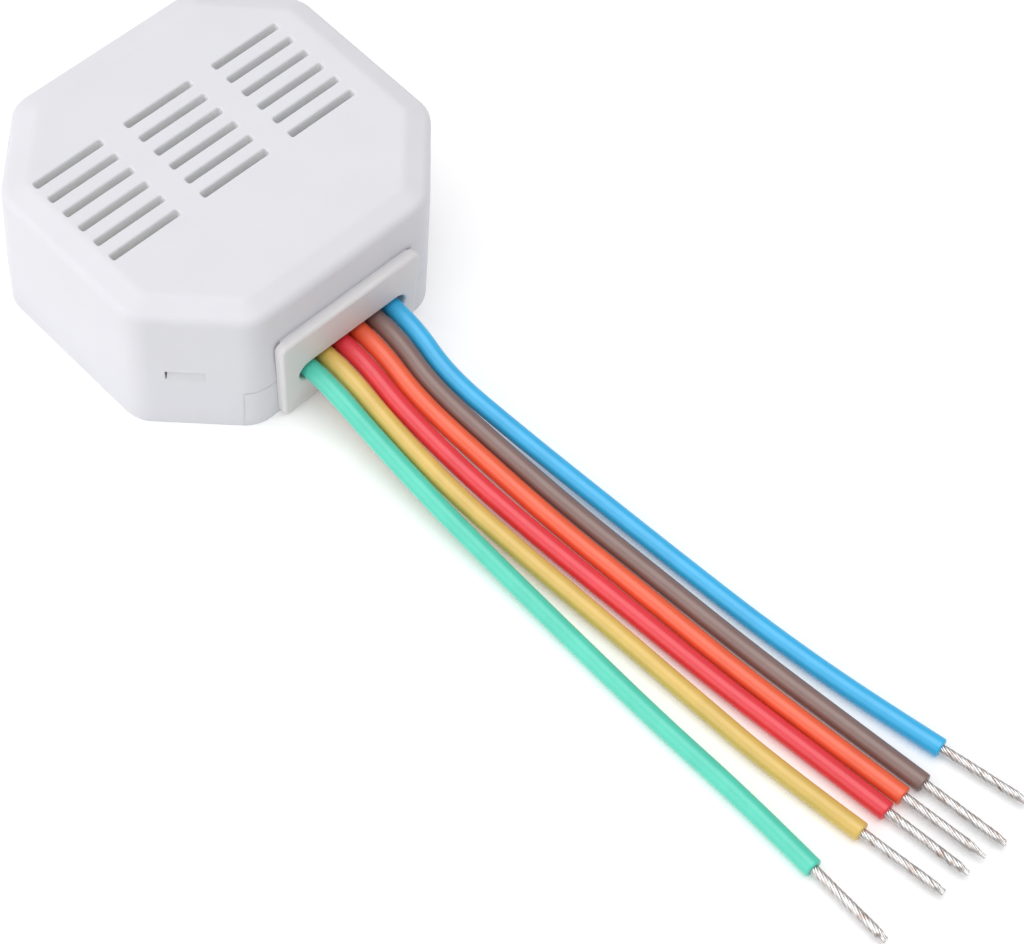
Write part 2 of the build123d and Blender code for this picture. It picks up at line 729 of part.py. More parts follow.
def can_capacitor(diameter, height, x, y):
    """A round electrolytic capacitor with its crimp groove and rounded top."""
    can = standing_cylinder(diameter, board_top, board_top + height, x, y)
    can = fillet(top_edges(can), capacitor_edge)
    ring = Torus(diameter / 2 + capacitor_groove_offset, capacitor_groove + capacitor_groove_offset)
    groove = Pos(x, y, board_top + capacitor_groove_height) * ring
    return can - groove


def transformer_base():
    """The transformer's bobbin foot, which carries its pins."""
    return block((transformer_x - transformer_width / 2, transformer_y - transformer_base_depth / 2, board_top),
                 (transformer_x + transformer_width / 2, transformer_y + transformer_base_depth / 2,
                  board_top + transformer_base_height))


def transformer_core():
    """The ferrite core: an outer frame with a centre leg."""
    bottom = board_top + transformer_base_height
    top = bottom + transformer_core_height
    half = transformer_width / 2
    depth = transformer_core_depth / 2
    core = block((transformer_x - half, transformer_y - depth, bottom),
                 (transformer_x + half, transformer_y + depth, top))
    window_low = transformer_centre_leg / 2
    window_high = half - transformer_leg
    for side in (-1, 1):
        edges = sorted((transformer_x + side * window_low, transformer_x + side * window_high))
        core -= block((edges[0], transformer_y - depth - cut_margin, bottom + transformer_leg),
                      (edges[1], transformer_y + depth + cut_margin, top - transformer_leg))
    return core


def transformer_winding():
    """The taped winding round the core's centre leg."""
    bottom = board_top + transformer_base_height + transformer_leg + transformer_fit
    top = board_top + transformer_base_height + transformer_core_height - transformer_leg - transformer_fit
    half = transformer_width / 2 - transformer_leg - transformer_fit
    depth = transformer_winding_depth / 2
    winding = block((transformer_x - half, transformer_y - depth, bottom),
                    (transformer_x + half, transformer_y + depth, top))
    winding = fillet(winding.edges().filter_by(Axis.Z), winding_corner_radius)
    leg = transformer_centre_leg / 2 + transformer_fit
    depth = transformer_core_depth / 2 + transformer_fit
    return winding - block((transformer_x - leg, transformer_y - depth, bottom - cut_margin),
                           (transformer_x + leg, transformer_y + depth, top + cut_margin))


def fuse():
    """The round plug-in fuse."""
    body = standing_cylinder(fuse_diameter, board_top, board_top + fuse_height, centre_x, fuse_y)
    return fillet(top_edges(body), fuse_edge_radius)


def varistor():
    """The disc that absorbs surges, standing on edge, flat where its leads leave."""
    middle = board_top + varistor_diameter / 2
    disc = Rot(90, 0, 0) * Cylinder(varistor_diameter / 2, varistor_thickness)
    disc = Pos(centre_x, varistor_y, middle) * disc
    disc = fillet(disc.edges(), varistor_edge_radius)
    half = varistor_lead_pitch / 2 + varistor_foot_overhang
    foot = block((centre_x - half, varistor_y - varistor_foot_thickness / 2, board_top),
                 (centre_x + half, varistor_y + varistor_foot_thickness / 2, middle))
    return disc + foot


def chip(size, x, y):
    """A moulded chip body on the board."""
    body = moved(Box(*size), x, y, board_top + size[2] / 2)
    return chamfer(top_edges(body), chip_bevel)


def bridge_rectifier():
    """The mains rectifier."""
    return chip(rectifier_size, centre_x, rectifier_y)


def power_controller():
    """The switching regulator."""
    return chip(controller_size, centre_x, controller_y)


def driver_places():
    """Places of the two relay drivers, between the relays' rear ends and a board screw."""
    y = relay_rear + part_gap + transistor_size[1] / 2 + chip_lead_size[1] / 2
    x = board_post_x - screw_head_diameter / 2 - part_gap / 2 - transistor_size[0] / 2
    return [(x - transistor_size[0] - part_gap / 2, y), (x, y)]


def driver_transistors():
    """The two relay driver transistors."""
    return group([chip(transistor_size, x, y) for x, y in driver_places()])


def diode_places():
    """Places of the two coil diodes, each in front of its relay."""
    y = relay_front - part_gap - diode_size[1] / 2
    return [(relay_up_x, y), (relay_down_x, y)]


def flyback_diodes():
    """The two diodes across the relay coils."""
    return group([chip(diode_size, x, y) for x, y in diode_places()])


def chip_parts():
    """Small resistors and capacitors in two rows at the left rear."""
    solids = []
    for n in range(chip_count):
        x = transformer_x - chip_row_start + (n % chips_in_row) * chip_column_pitch
        y = transformer_y + transformer_base_depth / 2 + chip_row_gap + (n // chips_in_row) * chip_row_pitch
        solids.append(moved(Box(*chip_size), x, y, board_top + chip_size[2] / 2))
    return group(solids)


def chip_leads():
    """The tinned feet of the rectifier, the controller and the driver transistors."""
    width, reach, height = chip_lead_size
    feet = []
    rows = [(rectifier_size, rectifier_y, rectifier_lead_steps),
            (controller_size, controller_y, controller_lead_steps)]
    for size, y, steps in rows:
        for step in steps:
            for side in (-1, 1):
                middle = y + side * (size[1] / 2 + reach / 2)
                feet.append(moved(Box(width, reach, height), centre_x + step, middle, board_top + height / 2))
    for x, y in driver_places():
        for step, side in transistor_lead_places:
            middle = y + side * (transistor_size[1] / 2 + reach / 4)
            feet.append(moved(Box(width, reach / 2, height), x + step, middle, board_top + height / 2))
    return group(feet)


def radio_board():
    """The radio's own board, upright behind the relays."""
    half = radio_board_width / 2
    bottom = board_top + radio_board_lift
    board = block((-half, radio_board_front, bottom), (half, radio_board_rear, bottom + radio_board_height))
    return chamfer(board.edges().filter_by(Axis.Y).group_by(Axis.Z)[-1], radio_board_corner)


def radio_header():
    """The plastic strip that carries the radio board on the main one."""
    half = radio_header_width / 2
    return block((-half, radio_board_front - radio_header_size, board_top),
                 (half, radio_board_front, board_top + radio_header_size))


def radio_chip():
    """The radio's microcontroller, on the side that faces the relays."""
    half = radio_chip_size / 2
    return block((-half - radio_chip_shift, radio_board_front - radio_chip_thickness, radio_chip_z - half),
                 (half - radio_chip_shift, radio_board_front, radio_chip_z + half))


def radio_shield():
    """The tinned can over the radio stage, on the side that faces the rear wall."""
    w, h, t = radio_shield_size
    z = radio_chip_z
    can = block((-w / 2, radio_board_rear, z - h / 2), (w / 2, radio_board_rear + t, z + h / 2))
    can = fillet(can.edges().filter_by(Axis.Y) + can.faces().sort_by(Axis.Y)[-1].edges(), small_edge_radius)
    wall = radio_shield_wall
    return can - block((-w / 2 + wall, radio_board_rear - cut_margin, z - h / 2 + wall),
                       (w / 2 - wall, radio_board_rear + t - wall, z + h / 2 - wall))


def antenna():
    """The stamped strip aerial along the top of the radio board."""
    top = board_top + radio_board_lift + radio_board_height
    half = antenna_length / 2
    strip = block((-half, radio_board_front - antenna_thickness, top),
                  (half, radio_board_rear, top + antenna_width))
    foot = block((half - antenna_width, radio_board_front - antenna_thickness, top - antenna_foot),
                 (half, radio_board_front, top + antenna_width))
    return strip + foot


def bar_along_y(diameter, front, back, x, z):
    """A round bar along Y."""
    bar = Cylinder(diameter / 2, back - front)
    return Pos(x, (front + back) / 2, z) * Rot(90, 0, 0) * bar


def inner_lead(x):
    """The insulated stretch of a lead from the outlet's face to the board."""
    return bar_along_y(lead_diameter, outlet_face, inner_lead_end, x, lead_height)


def inner_conductors():
    """The stripped inner ends, bent down through the board."""
    wires = []
    for x in lead_places():
        start = (x, inner_lead_end, lead_height)
        turn = (x, lead_hole_y, lead_height)
        end = (x, lead_hole_y, pin_bottom)
        path = FilletPolyline(start, turn, end, radius=inner_bend_radius)
        section = Plane(origin=start, z_dir=(0, 1, 0)) * Circle(lead_conductor_diameter / 2)
        wires.append(sweep(section, path))
    return group(wires)


def turn_angle(before, point, after):
    """The angle by which the route turns at a point, in degrees."""
    return (point - before).get_angle(after - point)


def route_radii(points):
    """Arc radii at the inner points of a route, each as large as its two runs allow."""
    radii = []
    for before, point, after in zip(points, points[1:], points[2:]):
        shorter = min((point - before).length, (after - point).length)
        half_turn = math.radians(turn_angle(before, point, after)) / 2
        radii.append(arc_share * shorter / math.tan(half_turn))
    return radii


def route_points(colour):
    """A free lead's route in the model's frame."""
    return [Vector(x, outlet_face - distance, z) for x, distance, z in lead_routes[colour]]


def free_lead(colour):
    """The insulated free stretch of a lead, from the outlet's face to where it is stripped."""
    points = route_points(colour)
    radii = route_radii(points)
    path = FilletPolyline(*points, radius=radii)
    start = Plane(origin=points[0], z_dir=points[1] - points[0])
    tube = sweep(start * Circle(lead_diameter / 2), path)
    expected = math.pi * (lead_diameter / 2) ** 2 * path.length
    print(f"lead {colour}: length {path.length:.2f}, smallest radius {min(radii):.1f},",
          f"volume over section times length {tube.volume / expected:.5f}")
    return tube


def stripped_end(colour):
    """The twisted and tinned end of a lead, drawn to a short point."""
    points = route_points(colour)
    along = Plane(origin=points[-1], z_dir=points[-1] - points[-2])
    body_length = stripped_length - stripped_taper
    body = Cylinder(lead_conductor_diameter / 2, body_length, align=(Align.CENTER, Align.CENTER, Align.MIN))
    tip = Cone(lead_conductor_diameter / 2, stripped_tip_diameter / 2, stripped_taper,
               align=(Align.CENTER, Align.CENTER, Align.MIN))
    return along * (body + Pos(0, 0, body_length) * tip)


def build():
    """Every node of the module, by name."""
    nodes = {
        "top_cover": top_cover(),
        "base_tray": base_tray(),
        "snap_hooks": group(on_chamfers(snap_hook)),
        "cable_outlet": cable_outlet(),
        "clamp_bar": clamp_bar(),
        "clamp_screws": clamp_screws(),
        "circuit_board": circuit_board(),
        "board_screws": board_screws(),
        "component_leads": component_leads(),
        "solder_joints": solder_joints(),
        "film_capacitor": film_capacitor(),
        "input_capacitor": can_capacitor(input_capacitor_diameter, input_capacitor_height,
                                         input_capacitor_x, input_capacitor_y),
        "output_capacitor": can_capacitor(output_capacitor_diameter, output_capacitor_height,
                                          output_capacitor_x, output_capacitor_y),
        "transformer_base": transformer_base(),
        "transformer_core": transformer_core(),
        "transformer_winding": transformer_winding(),
        "fuse": fuse(),
        "varistor": varistor(),
        "bridge_rectifier": bridge_rectifier(),
        "power_controller": power_controller(),
        "driver_transistors": driver_transistors(),
        "flyback_diodes": flyback_diodes(),
        "chip_parts": chip_parts(),
        "chip_leads": chip_leads(),
        "radio_board": radio_board(),
        "radio_header": radio_header(),
        "radio_chip": radio_chip(),
        "radio_shield": radio_shield(),
        "antenna": antenna(),
        "inner_conductors": inner_conductors(),
    }
    for name, x in (("relay_up", relay_up_x), ("relay_down", relay_down_x)):
        nodes[name + "_case"] = relay_case(x)
        nodes[name + "_base"] = relay_base(x)
        nodes[name + "_coil"] = relay_coil(x)
        nodes[name + "_yoke"] = relay_yoke(x)
        nodes[name + "_armature"] = relay_armature(x)
        nodes[name + "_contact"] = relay_contact(x)
    for colour, x in zip(lead_routes, lead_places()):
        nodes["inner_lead_" + colour] = inner_lead(x)
        nodes["lead_" + colour] = free_lead(colour)
        nodes["stripped_" + colour] = stripped_end(colour)
    return nodes


os.makedirs("parts", exist_ok=True)
for name, shape in build().items():
    export_step(shape, f"parts/{name}.step")
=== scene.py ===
# %% [markdown]
# # Dressing a shutter control module
# The CAD model gives every part of the module its true shape and place. This script turns it into a
# studio picture: it sets the camera where the photographer stood, lays the six coloured leads as smooth
# curves, twists their stripped ends from separate strands, and gives every part a material of its own.
# Everything is in the CAD model's frame: +Z is up through the vented roof, and the leads leave towards
# -Y. Blender's lengths are metres; sizes of the module that are easier to read in millimetres are
# written so and multiplied by MM where they are used.

# %% Load the CAD model
import math

import bpy
from mathutils import Matrix, Vector


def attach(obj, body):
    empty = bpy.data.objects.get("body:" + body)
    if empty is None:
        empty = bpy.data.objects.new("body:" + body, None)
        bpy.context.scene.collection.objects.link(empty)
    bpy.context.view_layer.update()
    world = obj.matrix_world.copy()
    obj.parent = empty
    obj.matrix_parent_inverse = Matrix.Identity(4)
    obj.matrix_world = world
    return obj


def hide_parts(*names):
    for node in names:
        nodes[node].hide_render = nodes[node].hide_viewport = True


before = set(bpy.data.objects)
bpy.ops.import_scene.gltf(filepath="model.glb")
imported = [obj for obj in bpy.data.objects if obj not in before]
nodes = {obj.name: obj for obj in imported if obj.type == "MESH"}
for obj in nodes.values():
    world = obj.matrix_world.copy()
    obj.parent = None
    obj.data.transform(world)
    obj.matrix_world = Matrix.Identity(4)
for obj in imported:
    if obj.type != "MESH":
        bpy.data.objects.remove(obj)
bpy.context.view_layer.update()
scene = bpy.context.scene
scene.view_settings.view_transform = "Standard"
MM = 0.001


def link(name, data):
    """A new object at the origin that holds the given data."""
    obj = bpy.data.objects.new(name, data)
    scene.collection.objects.link(obj)
    return obj


# %% [markdown]
# ## The camera
# A camera is fully described by where it stands, which way it looks and how long its lens is. The values
# here were fitted to the corners, slots and outlet in the photograph, so the picture lines up with it.
# The roll turns the camera a little about its own line of sight.

# %% Place the camera
CAMERA_PLACE = Vector((-143.79, -178.10, 309.38)) * MM
CAMERA_AZIMUTH = math.radians(-49.97)
CAMERA_ELEVATION = math.radians(57.862)
CAMERA_ROLL = math.radians(6.855)
FOCAL_PIXELS = 2717.1
IMAGE_WIDTH = 1024
SENSOR_WIDTH = 36.0
NEAREST, FARTHEST = 0.01, 20.0

camera = link("camera", bpy.data.cameras.new("camera"))
camera.data.sensor_width = SENSOR_WIDTH
camera.data.lens = FOCAL_PIXELS / IMAGE_WIDTH * SENSOR_WIDTH
camera.data.clip_start = NEAREST
camera.data.clip_end = FARTHEST
level = math.cos(CAMERA_ELEVATION)
back = Vector((math.sin(CAMERA_AZIMUTH) * level, -math.cos(CAMERA_AZIMUTH) * level,
               math.sin(CAMERA_ELEVATION)))
across = Vector((math.cos(CAMERA_AZIMUTH), math.sin(CAMERA_AZIMUTH), 0))
upright = back.cross(across)
right = across * math.cos(CAMERA_ROLL) + upright * math.sin(CAMERA_ROLL)
up = upright * math.cos(CAMERA_ROLL) - across * math.sin(CAMERA_ROLL)
camera.matrix_world = Matrix.Translation(CAMERA_PLACE) @ Matrix((right, up, back)).transposed().to_4x4()
scene.camera = camera
print("lens, mm:", round(camera.data.lens, 1))

# %% [markdown]
# ## The courses of the leads
# Each lead follows a NURBS curve: a smooth line that is pulled towards its control points and passes
# through the first and the last. The points are those of the CAD route: sideways place, distance from the
# outlet's face and height, in millimetres. The order is set after the points are added, because a spline
# with too few points falls back to straight runs.

# %% Draw the centre lines
OUTLET_FACE = -26.46
LEAD_DIAMETER = 2.7
SPLINE_ORDER = 3
SPLINE_STEPS = 14
LEAD_ROUTES = {
    "green": [(-7.1, 0, 7.1), (-7.1, 4, 7.1), (-7.3, 12, 5.3), (-7.65, 25, 3.6), (-7.45, 37.5, 2.0),
              (-7.55, 52, 1.35), (-7.85, 67, 1.35), (-7.6, 81.5, 1.35), (-8.05, 93.7, 1.35)],
    "yellow": [(-4.1, 0, 7.1), (-4.1, 4, 7.1), (-4.5, 12, 5.3), (-4.75, 25, 3.6), (-3.7, 37.5, 2.0),
               (-2.65, 52, 1.35), (-2.1, 67, 1.35), (-1.5, 81.5, 1.35), (0.05, 94.5, 1.35)],
    "red": [(-1.1, 0, 7.1), (-1.1, 4, 7.1), (-1.73, 12, 5.3), (-1.45, 25, 3.6), (-0.3, 37.5, 2.0),
            (1.0, 52, 1.35), (1.9, 67, 1.35), (3.3, 81.5, 1.35), (4.55, 94.8, 1.35)],
    "orange": [(1.9, 0, 7.1), (1.9, 4, 7.1), (1.07, 12, 5.3), (1.85, 25, 3.6), (2.8, 37.5, 2.0),
               (4.05, 52, 1.35), (4.85, 67, 1.35), (6.2, 81.5, 1.35), (7.65, 94.8, 1.35)],
    "brown": [(4.9, 0, 7.1), (4.9, 4, 7.1), (3.87, 12, 5.3), (4.75, 25, 3.6), (5.85, 37.5, 2.0),
              (7.15, 52, 1.35), (8.1, 67, 1.35), (9.5, 81.5, 1.35), (10.95, 95.4, 1.35)],
    "blue": [(7.9, 0, 7.1), (7.9, 4, 7.1), (6.67, 12, 5.3), (8.05, 25, 3.6), (9.65, 37.5, 2.0),
             (10.95, 52, 1.35), (12.1, 67, 1.35), (14.0, 81.5, 1.35), (16.3, 93.6, 1.35)],
}


def evaluated_mesh(obj):
    """A plain mesh of what an object's curve or modifiers make."""
    graph = bpy.context.evaluated_depsgraph_get()
    return bpy.data.meshes.new_from_object(obj.evaluated_get(graph), depsgraph=graph)


def centre_line(points):
    """The smooth line that a NURBS spline draws for these control points."""
    curve = bpy.data.curves.new("centre_line", "CURVE")
    curve.dimensions = "3D"
    spline = curve.splines.new("NURBS")
    spline.points.add(len(points) - 1)
    for spot, place in zip(spline.points, points):
        spot.co = (*place, 1.0)
    spline.order_u = SPLINE_ORDER
    spline.use_endpoint_u = True
    spline.resolution_u = SPLINE_STEPS
    obj = link("centre_line", curve)
    mesh = evaluated_mesh(obj)
    line = [v.co.copy() for v in mesh.vertices]
    bpy.data.objects.remove(obj)
    bpy.data.curves.remove(curve)
    bpy.data.meshes.remove(mesh)
    return line


def line_length(line):
    """The length of a line of points."""
    return sum((b - a).length for a, b in zip(line, line[1:]))


routes = {colour: [Vector((x, OUTLET_FACE - away, z)) * MM for x, away, z in route]
          for colour, route in LEAD_ROUTES.items()}
lines = {colour: centre_line(points) for colour, points in routes.items()}
for colour, line in lines.items():
    print(colour, "lead:", round(line_length(line) / MM, 1), "mm,", len(line), "points")

# %% [markdown]
# ## Building blocks for node trees
# Materials and Geometry Nodes are both small networks of nodes. `add` makes one node and fills its
# inputs, either with a value or with a link from another node. An effect that several materials share, or
# a shape that is made from a few numbers, is a node group with its own named inputs.

# %% Write the node helpers
def add(tree, kind, inputs=None, **settings):
    """Adds a node, sets its properties and fills its inputs with values or links."""
    node = tree.nodes.new(kind)
    for name, value in settings.items():
        setattr(node, name, value)
    for name, value in (inputs or {}).items():
        if isinstance(value, bpy.types.NodeSocket):
            tree.links.new(value, node.inputs[name])
        else:
            node.inputs[name].default_value = value
    return node


def math_node(tree, operation, first, second=0.0):
    """The result of one sum, product or other operation."""
    return add(tree, "ShaderNodeMath", {0: first, 1: second}, operation=operation).outputs[0]


def times(tree, first, second):
    """The product of two values."""
    return math_node(tree, "MULTIPLY", first, second)


def new_group(name, kind, inputs, outputs):
    """A node group with the given sockets; returns the tree and its two end nodes."""
    tree = bpy.data.node_groups.new(name, kind)
    for label, socket, value in inputs:
        made = tree.interface.new_socket(label, in_out="INPUT", socket_type=socket)
        if value is not None:
            made.default_value = value
    for label, socket in outputs:
        tree.interface.new_socket(label, in_out="OUTPUT", socket_type=socket)
    return tree, tree.nodes.new("NodeGroupInput"), tree.nodes.new("NodeGroupOutput")


print("node helpers:", ", ".join(helper.__name__ for helper in (add, math_node, times, new_group)))

# %% [markdown]
# ## The grain of moulded plastic
# A steel mould leaves a fine matt grain on plastic, and no moulded edge is perfectly sharp. Modelling
# either would take millions of faces, so both are drawn into the surface's normals: a noise makes the
# grain, and a bevel node rounds what the light sees of an edge. A second, slow noise is for uneven tone.

# %% Build the shared grain
SLOW_SCALE = 90.0
GRAIN_RELIEF = 0.00005
BEVEL_SAMPLES = 4


def grain_group():
    """Fine surface grain on edges that are slightly rounded: gives a normal and a slow tone."""
    tree, given, out = new_group(
        "moulded_grain", "ShaderNodeTree",
        [("Grain Size", "NodeSocketFloat", 0.0001), ("Grain Depth", "NodeSocketFloat", 0.1),
         ("Edge Radius", "NodeSocketFloat", 0.00012)],
        [("Normal", "NodeSocketVector"), ("Slow Tone", "NodeSocketFloat")])
    place = add(tree, "ShaderNodeTexCoord").outputs["Object"]
    per_metre = math_node(tree, "DIVIDE", 1.0, given.outputs["Grain Size"])
    fine = add(tree, "ShaderNodeTexNoise",
               {"Vector": place, "Scale": per_metre, "Detail": 2.0, "Roughness": 0.6})
    slow = add(tree, "ShaderNodeTexNoise", {"Vector": place, "Scale": SLOW_SCALE, "Detail": 3.0})
    edge = add(tree, "ShaderNodeBevel", {"Radius": given.outputs["Edge Radius"]}, samples=BEVEL_SAMPLES)
    bump = add(tree, "ShaderNodeBump",
               {"Height": fine.outputs["Fac"], "Strength": given.outputs["Grain Depth"],
                "Distance": GRAIN_RELIEF, "Normal": edge.outputs["Normal"]})
    tree.links.new(bump.outputs["Normal"], out.inputs["Normal"])
    tree.links.new(slow.outputs["Fac"], out.inputs["Slow Tone"])
    return tree


GRAIN = grain_group()
print("shared effect:", GRAIN.name, "with", len(GRAIN.nodes), "nodes")

# %% [markdown]
# ## Materials from a few values
# Every plastic here differs only in colour, gloss, grain and edge, so one function makes them all. Values
# that don't change over a surface are set on the shader's own sockets, where they are easy to find.

# %% Write the material functions
def new_material(name, roughness, **sockets):
    """A material and its shader, with the constant values set on the shader's own sockets."""
    material = bpy.data.materials.new(name)
    material.use_nodes = True
    tree = material.node_tree
    shader = tree.nodes["Principled BSDF"]
    shader.inputs["Roughness"].default_value = roughness
    for label, value in sockets.items():
        shader.inputs[label.replace("_", " ")].default_value = value
    return material, tree, shader


def toned(tree, factor, dark, light, low=0.3, high=0.7):
    """A colour that runs from dark to light as the factor goes from low to high."""
    ramp = add(tree, "ShaderNodeValToRGB", {"Fac": factor})
    for element, position, colour in zip(ramp.color_ramp.elements, (low, high), (dark, light)):
        element.position = position
        element.color = (*colour, 1)
    return ramp.outputs["Color"]


def shade(colour, factor):
    """The colour made darker or lighter."""
    return tuple(min(part * factor, 1.0) for part in colour)


def finish_surface(tree, shader, colour, normal):
    """Links a material's colour and normal to its shader."""
    tree.links.new(colour, shader.inputs["Base Color"])
    tree.links.new(normal, shader.inputs["Normal"])


def moulded(name, colour, roughness, grain_size=0.0001, grain_depth=0.1, edge=0.00012, spread=0.03,
            **sockets):
    """A moulded material: one colour with a slow unevenness, a fine grain and softened edges."""
    material, tree, shader = new_material(name, roughness, **sockets)
    grain = add(tree, "ShaderNodeGroup", node_tree=GRAIN)
    grain.inputs["Grain Size"].default_value = grain_size
    grain.inputs["Grain Depth"].default_value = grain_depth
    grain.inputs["Edge Radius"].default_value = edge
    tint = toned(tree, grain.outputs["Slow Tone"], shade(colour, 1 - spread), shade(colour, 1 + spread))
    finish_surface(tree, shader, tint, grain.outputs["Normal"])
    return material


def dress(material, *names):
    """Gives CAD parts a material."""
    for name in names:
        for slot in nodes[name].material_slots:
            slot.material = material


print("material functions:", ", ".join(maker.__name__ for maker in (new_material, toned, moulded)))

# %% [markdown]
# ## The casing
# The cover and the base are the same white plastic with a fine matt grain. The outlet plate is a slightly
# warmer, smoother piece, so it gets its own material. Light spreads a little way inside both, which the
# shader's subsurface part does.

# %% Dress the casing
CASING_WHITE = (0.745, 0.745, 0.785)
OUTLET_WHITE = (0.76, 0.745, 0.75)
CASING_PARTS = ("top_cover", "base_tray", "snap_hooks")
OUTLET_PARTS = ("cable_outlet", "clamp_bar")
MILKY = {"Subsurface_Weight": 0.3, "Subsurface_Scale": 0.0008, "Subsurface_Radius": (1.0, 0.95, 0.95)}
casing = moulded("casing_plastic", CASING_WHITE, 0.55, grain_size=0.00012, grain_depth=0.16,
                 edge=0.00004, spread=0.012, **MILKY)
outlet = moulded("outlet_plastic", OUTLET_WHITE, 0.42, grain_size=0.0002, grain_depth=0.05,
                 edge=0.00004, spread=0.012, **MILKY)
dress(casing, *CASING_PARTS)
dress(outlet, *OUTLET_PARTS)
print("casing parts dressed:", len(CASING_PARTS + OUTLET_PARTS))

# %% [markdown]
# ## Painted light in the vent slots
# The ribs are so thin that they let most of the light through, and the slots look pale grey and not
# black. Following that light takes far more samples than a picture has, so the slot walls get a lighter
# colour that stands for it: painted light. It is given by place: inside a box of the CAD frame that holds
# the slots' walls and ends just below the roof, so the roof itself keeps its own white.

# %% Paint light onto the slot walls
SLOT_WALLS_LOW = (-22.6, -5.6, 21.3)
SLOT_WALLS_HIGH = (20.0, 11.6, 23.68)
# painted light: a near-white colour on the slot walls, lighter than the casing, standing for light through
# the ribs
SLOT_PAINTED_LIGHT = (0.97, 0.97, 0.98)
MIX_PLAIN, MIX_OTHER, MIX_RESULT = 6, 7, 2  # where a mix node keeps its colour sockets


def paint_light_in_box(material, low, high, colour):
    """Paints light into a material: another colour inside a box of the CAD frame, in millimetres."""
    tree = material.node_tree
    shader = tree.nodes["Principled BSDF"]
    place = add(tree, "ShaderNodeTexCoord").outputs["Object"]
    middle = [(a + b) / 2 * MM for a, b in zip(low, high)]
    half_size = [(b - a) / 2 * MM for a, b in zip(low, high)]
    offset = add(tree, "ShaderNodeVectorMath", {0: place, 1: middle}, operation="SUBTRACT")
    distance = add(tree, "ShaderNodeVectorMath", {0: offset.outputs[0]}, operation="ABSOLUTE")
    share = add(tree, "ShaderNodeVectorMath", {0: distance.outputs[0], 1: half_size}, operation="DIVIDE")
    along = add(tree, "ShaderNodeSeparateXYZ", {0: share.outputs[0]})
    wider = math_node(tree, "MAXIMUM", along.outputs[0], along.outputs[1])
    widest = math_node(tree, "MAXIMUM", wider, along.outputs[2])
    inside = math_node(tree, "LESS_THAN", widest, 1.0)
    plain = shader.inputs["Base Color"].links[0].from_socket
    mixed = add(tree, "ShaderNodeMix", {"Factor": inside}, data_type="RGBA")
    tree.links.new(plain, mixed.inputs[MIX_PLAIN])
    mixed.inputs[MIX_OTHER].default_value = (*colour, 1.0)
    tree.links.new(mixed.outputs[MIX_RESULT], shader.inputs["Base Color"])


# painted light on the casing's slot walls
paint_light_in_box(casing, SLOT_WALLS_LOW, SLOT_WALLS_HIGH, SLOT_PAINTED_LIGHT)
print("slot walls' box, mm:", [round(b - a, 2) for a, b in zip(SLOT_WALLS_LOW, SLOT_WALLS_HIGH)])

# %% [markdown]
# ## The insulated leads
# A lead's insulation is a tube along its centre line. A curve with a round bevel would give a tube too,
# but not the small rounded rim of the cut end. So rings of points are set square to the line, and the
# rings near the cut shrink along a quarter circle. Behind the rim a shallow face runs in to where the
# strands come out. The UV map counts millimetres along the lead and turns round it.

# %% Set the rings of a lead
RING_STEP = 0.9
START_STEP = 0.03
RIM_RADIUS = 0.3
RIM_STEPS = 5
HUB_RADIUS = 0.6
HUB_DEPTH = 0.12
FUNNEL_DEPTH = HUB_DEPTH / 3
FUNNEL_SHARE = 0.7


def place_on_line(line, distance):
    """The point and direction at a distance along a line."""
    for a, b in zip(line, line[1:]):
        step = (b - a).length
        if distance <= step or b is line[-1]:
            return a + (b - a) * (distance / step), (b - a).normalized()
        distance -= step


def tube_profile(length):
    """Distance along the lead and radius of each ring, in metres."""
    radius = LEAD_DIAMETER / 2
    whole = length / MM
    straight = whole - RIM_RADIUS
    count = int(straight / RING_STEP)
    rings = [(0.0, radius), (START_STEP, radius)]
    rings += [(n * straight / count, radius) for n in range(1, count)]
    for n in range(RIM_STEPS + 1):
        turn = math.pi / 2 * n / RIM_STEPS
        rings.append((whole - RIM_RADIUS * (1 - math.sin(turn)),
                      radius - RIM_RADIUS * (1 - math.cos(turn))))
    rings += [(whole - FUNNEL_DEPTH, radius * FUNNEL_SHARE), (whole - HUB_DEPTH, HUB_RADIUS)]
    return [(distance * MM, size * MM) for distance, size in rings]


print("rings along the green lead:", len(tube_profile(line_length(lines["green"]))))

# %% Skin the rings
RING_SIDES = 36


def insulation(name, line):
    """The insulation of one lead as a mesh, with a UV map along and round it."""
    rings = tube_profile(line_length(line))
    points, faces, uvs = [], [], []
    side = Vector((1, 0, 0))
    for distance, radius in rings:
        centre, ahead = place_on_line(line, distance)
        side = (side - ahead * side.dot(ahead)).normalized()
        over = ahead.cross(side)
        for n in range(RING_SIDES):
            turn = 2 * math.pi * n / RING_SIDES
            points.append(centre + (side * math.cos(turn) + over * math.sin(turn)) * radius)
    for row in range(len(rings) - 1):
        near, far = rings[row][0] / MM, rings[row + 1][0] / MM
        for n in range(RING_SIDES):
            after = (n + 1) % RING_SIDES
            faces.append((row * RING_SIDES + n, row * RING_SIDES + after,
                          (row + 1) * RING_SIDES + after, (row + 1) * RING_SIDES + n))
            uvs += [(near, n / RING_SIDES), (near, (n + 1) / RING_SIDES),
                    (far, (n + 1) / RING_SIDES), (far, n / RING_SIDES)]
    last = (len(rings) - 1) * RING_SIDES
    faces.append(tuple(range(RING_SIDES - 1, -1, -1)))
    faces.append(tuple(range(last, last + RING_SIDES)))
    uvs += [(0.0, 0.0)] * (2 * RING_SIDES)
    mesh = bpy.data.meshes.new(name)
    mesh.from_pydata(points, [], faces)
    layer = mesh.uv_layers.new(name="UVMap")
    for spot, uv in zip(layer.data, uvs):
        spot.uv = uv
    mesh.shade_smooth()
    return link(name, mesh)


sheaths = {colour: insulation("sheath_" + colour, line) for colour, line in lines.items()}
print("insulation faces each:", len(sheaths["green"].data.polygons))

